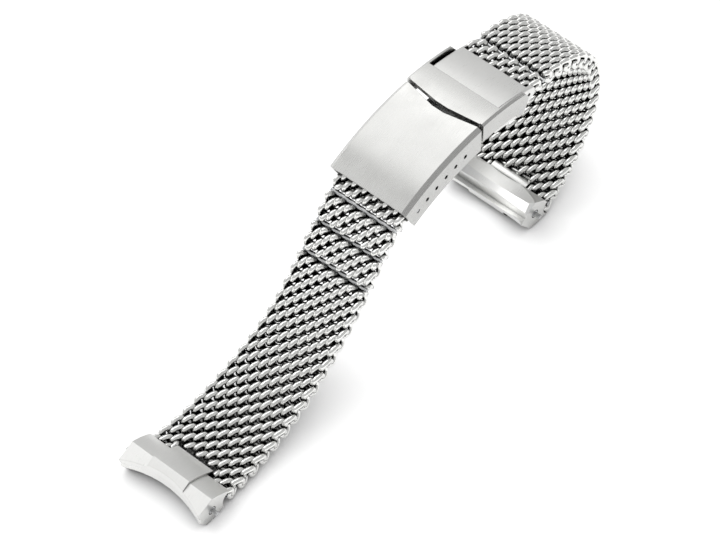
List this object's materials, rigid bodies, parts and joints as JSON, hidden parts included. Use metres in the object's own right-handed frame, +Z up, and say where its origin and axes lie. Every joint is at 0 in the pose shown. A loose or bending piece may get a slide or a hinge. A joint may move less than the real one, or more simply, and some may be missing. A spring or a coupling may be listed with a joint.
{
  "type": "mesh watch band",
  "caption": "Thick steel mesh watch band with curved end links and an adjustable fold-over clasp, standing as an open loop.",
  "frame": {"origin": "on the table under the middle of the band's whole length and width", "axes": "+X along the band from the lower end link to the closed side of the loop, +Y across the strap, +Z up from the table"},
  "size_m": [0.1304, 0.025, 0.0479],
  "materials": {
    "mesh_wire": "woven round steel wire, softly polished",
    "satin_steel": "satin brushed along the strap",
    "polished_steel": "polished steel",
    "blade_steel": "fine satin sheet steel",
    "pin_steel": "drawn steel wire",
    "spring_steel": "dark spring wire"
  },
  "bodies": {
    "clasp_cover_body": {"clasp_cover": "polished_steel", "cover_hinge_pin": "pin_steel", "clasp_spring_bar_tube": "pin_steel", "clasp_spring_bar_spring": "spring_steel"},
    "clasp_tip_near": {"clasp_spring_bar_tip_near": "pin_steel"},
    "clasp_tip_far": {"clasp_spring_bar_tip_far": "pin_steel"},
    "clasp_link": {"lower_clasp_link": "mesh_wire"},
    "removable_link_2": {"lower_removable_link_2": "mesh_wire", "lower_link_pin_3": "pin_steel"},
    "removable_link_1": {"lower_removable_link_1": "mesh_wire", "lower_link_pin_2": "pin_steel"},
    "lower_strap_4": {"lower_mesh_4": "mesh_wire", "lower_link_pin_1": "pin_steel"},
    "lower_strap_3": {"lower_mesh_3": "mesh_wire"},
    "lower_strap_2": {"lower_mesh_2": "mesh_wire"},
    "lower_strap_1": {"lower_mesh_1": "mesh_wire", "lower_end_link_pin": "pin_steel"},
    "lower_end": {"lower_end_link": "satin_steel", "lower_spring_bar_tube": "pin_steel", "lower_spring_bar_spring": "spring_steel"},
    "lower_tip_near": {"lower_spring_bar_tip_near": "pin_steel"},
    "lower_tip_far": {"lower_spring_bar_tip_far": "pin_steel"},
    "upper_blade_body": {"upper_blade": "blade_steel", "blade_hinge_pin": "pin_steel"},
    "lower_blade_body": {"lower_blade": "blade_steel", "catch_clip": "blade_steel", "end_block": "satin_steel", "block_rivets": "pin_steel", "upper_strap_pin": "pin_steel"},
    "flip_lock_body": {"flip_lock": "polished_steel", "flip_lock_pin": "pin_steel"},
    "short_link": {"upper_short_link": "mesh_wire", "upper_link_pin": "pin_steel"},
    "upper_strap_1": {"upper_mesh_1": "mesh_wire"},
    "upper_strap_2": {"upper_mesh_2": "mesh_wire"},
    "upper_strap_3": {"upper_mesh_3": "mesh_wire"},
    "upper_strap_4": {"upper_mesh_4": "mesh_wire"},
    "upper_strap_5": {"upper_mesh_5": "mesh_wire", "upper_end_link_pin": "pin_steel"},
    "upper_end": {"upper_end_link": "satin_steel", "upper_spring_bar_tube": "pin_steel", "upper_spring_bar_spring": "spring_steel"},
    "upper_tip_near": {"upper_spring_bar_tip_near": "pin_steel"},
    "upper_tip_far": {"upper_spring_bar_tip_far": "pin_steel"}
  },
  "joints": [
    {"name": "clasp_bar_turn", "type": "hinge", "parent": "clasp_cover_body", "child": "clasp_link", "pos_m": [0.00315, 0, 0.03906], "axis": [0, -1, 0], "range_deg": [-20, 35]},
    {"name": "link_pin_3_turn", "type": "hinge", "parent": "clasp_link", "child": "removable_link_2", "pos_m": [-0.00194, 0, 0.03588], "axis": [0, -1, 0], "range_deg": [-25, 25]},
    {"name": "link_pin_2_turn", "type": "hinge", "parent": "removable_link_2", "child": "removable_link_1", "pos_m": [-0.00634, 0, 0.03044], "axis": [0, -1, 0], "range_deg": [-25, 30]},
    {"name": "link_pin_1_turn", "type": "hinge", "parent": "removable_link_1", "child": "lower_strap_4", "pos_m": [-0.01075, 0, 0.025], "axis": [0, -1, 0], "range_deg": [-25, 30]},
    {"name": "lower_flex_3", "type": "hinge", "parent": "lower_strap_4", "child": "lower_strap_3", "pos_m": [-0.01945, 0, 0.01512], "axis": [0, -1, 0], "range_deg": [-20, 30]},
    {"name": "lower_flex_2", "type": "hinge", "parent": "lower_strap_3", "child": "lower_strap_2", "pos_m": [-0.03035, 0, 0.00774], "axis": [0, -1, 0], "range_deg": [-20, 30]},
    {"name": "lower_flex_1", "type": "hinge", "parent": "lower_strap_2", "child": "lower_strap_1", "pos_m": [-0.04273, 0, 0.00323], "axis": [0, -1, 0], "range_deg": [-20, 30]},
    {"name": "lower_end_link_turn", "type": "hinge", "parent": "lower_strap_1", "child": "lower_end", "pos_m": [-0.05583, 0, 0.00235], "axis": [0, -1, 0], "range_deg": [-20, 55]},
    {"name": "cover_hinge_turn", "type": "hinge", "parent": "clasp_cover_body", "child": "upper_blade_body", "pos_m": [0.02062, 0, 0.04204], "axis": [0, -1, 0], "range_deg": [0, 170]},
    {"name": "blade_hinge_turn", "type": "hinge", "parent": "upper_blade_body", "child": "lower_blade_body", "pos_m": [0.00603, 0, 0.03697], "axis": [0, 1, 0], "range_deg": [0, 170]},
    {"name": "flip_lock_turn", "type": "hinge", "parent": "lower_blade_body", "child": "flip_lock_body", "pos_m": [0.03551, 0, 0.04166], "axis": [0, 1, 0], "range_deg": [0, 100]},
    {"name": "strap_pin_turn", "type": "hinge", "parent": "lower_blade_body", "child": "short_link", "pos_m": [0.03947, 0, 0.0427], "axis": [0, -1, 0], "range_deg": [-30, 15]},
    {"name": "link_pin_4_turn", "type": "hinge", "parent": "short_link", "child": "upper_strap_1", "pos_m": [0.04485, 0, 0.04228], "axis": [0, -1, 0], "range_deg": [-20, 30]},
    {"name": "upper_flex_1", "type": "hinge", "parent": "upper_strap_1", "child": "upper_strap_2", "pos_m": [0.05576, 0, 0.03893], "axis": [0, -1, 0], "range_deg": [-8, 35]},
    {"name": "upper_flex_2", "type": "hinge", "parent": "upper_strap_2", "child": "upper_strap_3", "pos_m": [0.0626, 0, 0.03006], "axis": [0, -1, 0], "range_deg": [-8, 35]},
    {"name": "upper_flex_3", "type": "hinge", "parent": "upper_strap_3", "child": "upper_strap_4", "pos_m": [0.06189, 0, 0.01878], "axis": [0, -1, 0], "range_deg": [-8, 35]},
    {"name": "upper_flex_4", "type": "hinge", "parent": "upper_strap_4", "child": "upper_strap_5", "pos_m": [0.05573, 0, 0.00915], "axis": [0, -1, 0], "range_deg": [-8, 35]},
    {"name": "upper_end_link_turn", "type": "hinge", "parent": "upper_strap_5", "child": "upper_end", "pos_m": [0.04636, 0, 0.00262], "axis": [0, -1, 0], "range_deg": [-15, 55]},
    {"name": "clasp_tip_near_slide", "type": "slide", "parent": "clasp_cover_body", "child": "clasp_tip_near", "axis": [0, 1, 0], "range_m": [0, 0.0012], "stiffness_N_per_m": 400, "springref_m": -0.0012, "deforming": ["clasp_spring_bar_spring"]},
    {"name": "clasp_tip_far_slide", "type": "slide", "parent": "clasp_cover_body", "child": "clasp_tip_far", "axis": [0, -1, 0], "range_m": [0, 0.0012], "stiffness_N_per_m": 400, "springref_m": -0.0012, "deforming": ["clasp_spring_bar_spring"]},
    {"name": "lower_tip_near_slide", "type": "slide", "parent": "lower_end", "child": "lower_tip_near", "axis": [0, 1, 0], "range_m": [0, 0.0012], "stiffness_N_per_m": 400, "springref_m": -0.0012, "deforming": ["lower_spring_bar_spring"]},
    {"name": "lower_tip_far_slide", "type": "slide", "parent": "lower_end", "child": "lower_tip_far", "axis": [0, -1, 0], "range_m": [0, 0.0012], "stiffness_N_per_m": 400, "springref_m": -0.0012, "deforming": ["lower_spring_bar_spring"]},
    {"name": "upper_tip_near_slide", "type": "slide", "parent": "upper_end", "child": "upper_tip_near", "axis": [0, 1, 0], "range_m": [0, 0.0012], "stiffness_N_per_m": 400, "springref_m": -0.0012, "deforming": ["upper_spring_bar_spring"]},
    {"name": "upper_tip_far_slide", "type": "slide", "parent": "upper_end", "child": "upper_tip_far", "axis": [0, -1, 0], "range_m": [0, 0.0012], "stiffness_N_per_m": 400, "springref_m": -0.0012, "deforming": ["upper_spring_bar_spring"]}
  ],
  "couplings": [
    {"joint": "cover_hinge_turn", "follows": "blade_hinge_turn", "ratio": 1}
  ]
}
